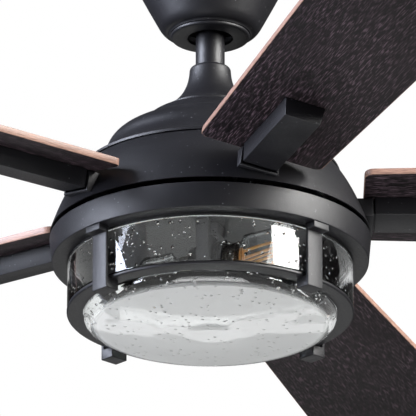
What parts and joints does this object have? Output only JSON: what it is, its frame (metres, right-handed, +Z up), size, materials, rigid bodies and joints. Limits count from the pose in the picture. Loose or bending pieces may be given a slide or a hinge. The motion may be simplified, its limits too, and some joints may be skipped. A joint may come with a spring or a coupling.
{
  "type": "ceiling fan with light",
  "caption": "Downrod ceiling fan with flat pitched blades on short arms and a caged drum light of seeded glass under a flared housing.",
  "frame": {"origin": "middle of the hanger bracket's top face, where it bears on the ceiling", "axes": "+Z up along the downrod; the ceiling is at z = 0 and the fan hangs below it; +X along the middle of the first blade; the row is drawn as seen by a viewer on -Y"},
  "size_m": [1.2327, 1.2945, 0.3507],
  "materials": {
    "black_coat": "matt powder coat",
    "zinc_steel": "zinc plated",
    "dark_wood": "dark walnut, satin",
    "copper_wire": "enamelled winding",
    "seeded_glass": "clear with small bubbles",
    "bulb_glass": "clear",
    "lamp_cap": "nickel brass",
    "filament": "amber phosphor",
    "white_plastic": "moulded",
    "gasket_rubber": "matt"
  },
  "bodies": {
    "ceiling_part": {"hanger_bracket": "zinc_steel", "canopy": "black_coat", "canopy_trim_ring": "black_coat", "canopy_screw_left": "zinc_steel", "canopy_screw_right": "zinc_steel", "remote_receiver": "white_plastic"},
    "hanging_part": {"hanger_ball": "zinc_steel", "ball_pin": "zinc_steel", "downrod": "black_coat", "yoke_cover": "black_coat", "motor_yoke": "zinc_steel", "clevis_pin": "zinc_steel", "hairpin_clip": "zinc_steel", "yoke_set_screw_front": "zinc_steel", "yoke_set_screw_back": "zinc_steel", "motor_shaft": "zinc_steel", "stator_core": "zinc_steel", "stator_winding": "copper_wire", "top_housing": "black_coat", "light_pan": "black_coat", "shaft_nut": "zinc_steel", "glass_gasket": "gasket_rubber", "drum_glass": "seeded_glass", "cage_strap_1": "black_coat", "cage_strap_2": "black_coat", "cage_strap_3": "black_coat", "cage_strap_4": "black_coat", "lower_ring": "black_coat", "bottom_glass": "seeded_glass", "lamp_holder": "white_plastic", "lamp_socket_left": "white_plastic", "lamp_socket_right": "white_plastic", "bulb_cap_left": "lamp_cap", "bulb_cap_right": "lamp_cap", "bulb_glass_left": "bulb_glass", "bulb_glass_right": "bulb_glass", "bulb_filament_left": "filament", "bulb_filament_right": "filament"},
    "rotor_part": {"rotor_upper_bell": "zinc_steel", "rotor_lower_bell": "zinc_steel", "rotating_cover": "black_coat", "upper_bearing": "zinc_steel", "lower_bearing": "zinc_steel", "blade_arm_1": "black_coat", "blade_arm_2": "black_coat", "blade_arm_3": "black_coat", "blade_arm_4": "black_coat", "blade_arm_5": "black_coat", "blade_1": "dark_wood", "blade_2": "dark_wood", "blade_3": "dark_wood", "blade_4": "dark_wood", "blade_5": "dark_wood", "blade_clamp_1": "zinc_steel", "blade_clamp_2": "zinc_steel", "blade_clamp_3": "zinc_steel", "blade_clamp_4": "zinc_steel", "blade_clamp_5": "zinc_steel"}
  },
  "joints": [
    {"name": "hanger_swing", "type": "hinge", "parent": "ceiling_part", "child": "hanging_part", "pos_m": [0, 0, -0.035], "axis": [1, 0, 0], "range_deg": [-8, 8]},
    {"name": "rotor_spin", "type": "hinge", "parent": "hanging_part", "child": "rotor_part", "pos_m": [0, 0, -0.2302], "axis": [0, 0, 1], "continuous": true}
  ]
}
